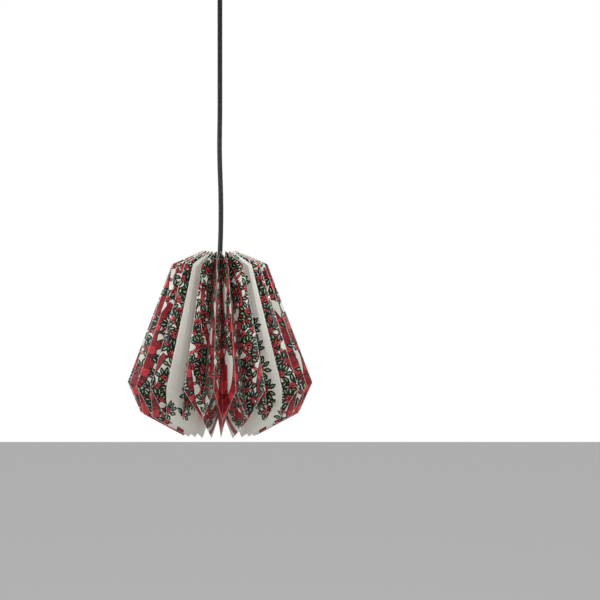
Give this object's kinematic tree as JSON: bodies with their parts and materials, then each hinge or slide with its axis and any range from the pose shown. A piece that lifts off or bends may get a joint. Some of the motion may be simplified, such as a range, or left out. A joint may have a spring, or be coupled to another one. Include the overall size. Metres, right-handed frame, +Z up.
{
  "type": "pleated paper pendant lantern",
  "caption": "Pleated accordion paper pendant shade with folded-in rim and base, hanging on a round cord from a ceiling cup, with its lampholder and bulb.",
  "frame": {"origin": "middle of the ceiling plate's upper face, where the lantern meets the ceiling", "axes": "+Z up, out of the ceiling plate into the ceiling; -Y towards the viewer of the front sheet; +X to that viewer's right, along the plate"},
  "size_m": [0.2562, 0.2568, 0.6936],
  "materials": {
    "plated_steel": "satin zinc plate",
    "white_plastic": "fine matte",
    "black_plastic": "semi-gloss",
    "brown_insulation": "matte PVC",
    "blue_insulation": "matte PVC",
    "brass": "plain",
    "cord_sheath": "glossy flexible PVC",
    "ceramic": "unglazed steatite",
    "aluminium": "satin",
    "glass_opal": "opal",
    "printed_paper": "satin coated, printed",
    "cotton": "waxed thread"
  },
  "bodies": {
    "ceiling": {"ceiling_plate": "plated_steel", "ceiling_hook": "plated_steel"},
    "link": {"hook_link": "plated_steel"},
    "pendant": {"cord_hanger": "white_plastic", "terminal_block": "white_plastic", "supply_wire_live": "brown_insulation", "supply_wire_neutral": "blue_insulation", "block_screw_live": "brass", "block_screw_neutral": "brass", "pendant_cord": "cord_sheath", "holder_cap": "black_plastic", "holder_body": "black_plastic", "contact_base": "ceramic", "terminal_post_live": "brass", "terminal_post_neutral": "brass", "core_live": "brown_insulation", "core_neutral": "blue_insulation", "screw_shell": "brass", "centre_contact": "brass"},
    "cup": {"ceiling_cup": "white_plastic"},
    "cup_screw": {"cup_grip_screw": "white_plastic"},
    "cap_screw": {"cap_grip_screw": "white_plastic"},
    "ring": {"shade_ring": "black_plastic"},
    "carrier": {"carrier_plate": "plated_steel"},
    "shade": {"shade_sheet_1": "printed_paper", "shade_sheet_2": "printed_paper", "shade_sheet_3": "printed_paper", "shade_sheet_4": "printed_paper", "shade_sheet_5": "printed_paper", "gather_thread": "cotton"},
    "bulb_contact": {"bulb_tip": "brass"},
    "bulb": {"bulb_insulator": "black_plastic", "bulb_cap": "aluminium", "bulb_collar": "white_plastic", "bulb_globe": "glass_opal"}
  },
  "joints": [
    {"name": "link_swing", "type": "hinge", "parent": "ceiling", "child": "link", "pos_m": [0, 0, -0.022], "axis": [1, 0, 0], "range_deg": [-6, 6]},
    {"name": "pendant_swing", "type": "hinge", "parent": "link", "child": "pendant", "pos_m": [0, 0, -0.0306], "axis": [0, 1, 0], "range_deg": [-6, 6]},
    {"name": "cup_slide", "type": "slide", "parent": "pendant", "child": "cup", "axis": [0, 0, 1], "range_m": [-0.15, 0]},
    {"name": "cup_screw_turn", "type": "hinge", "parent": "cup", "child": "cup_screw", "pos_m": [0.0095, 0, -0.0705], "axis": [1, 0, 0], "range_deg": [0, 720]},
    {"name": "cap_screw_turn", "type": "hinge", "parent": "pendant", "child": "cap_screw", "pos_m": [0.0075, 0, -0.4525], "axis": [1, 0, 0], "range_deg": [0, 720]},
    {"name": "ring_turn", "type": "hinge", "parent": "pendant", "child": "ring", "pos_m": [0, 0, -0.482], "axis": [0, 0, -1], "range_deg": [0, 1080]},
    {"name": "carrier_turn", "type": "hinge", "parent": "pendant", "child": "carrier", "pos_m": [0, 0, -0.478], "axis": [0, 0, 1], "continuous": true},
    {"name": "shade_lift", "type": "slide", "parent": "carrier", "child": "shade", "axis": [0, 0, 1], "range_m": [0, 0.2]},
    {"name": "bulb_feed", "type": "slide", "parent": "pendant", "child": "bulb_contact", "axis": [0, 0, -1], "range_m": [0, 0.0095]},
    {"name": "bulb_turn", "type": "hinge", "parent": "bulb_contact", "child": "bulb", "pos_m": [0, 0, -0.532], "axis": [0, 0, -1], "range_deg": [0, 900]}
  ],
  "couplings": [
    {"joint": "bulb_feed", "follows": "bulb_turn", "m_per_rad": 0.00057757}
  ]
}
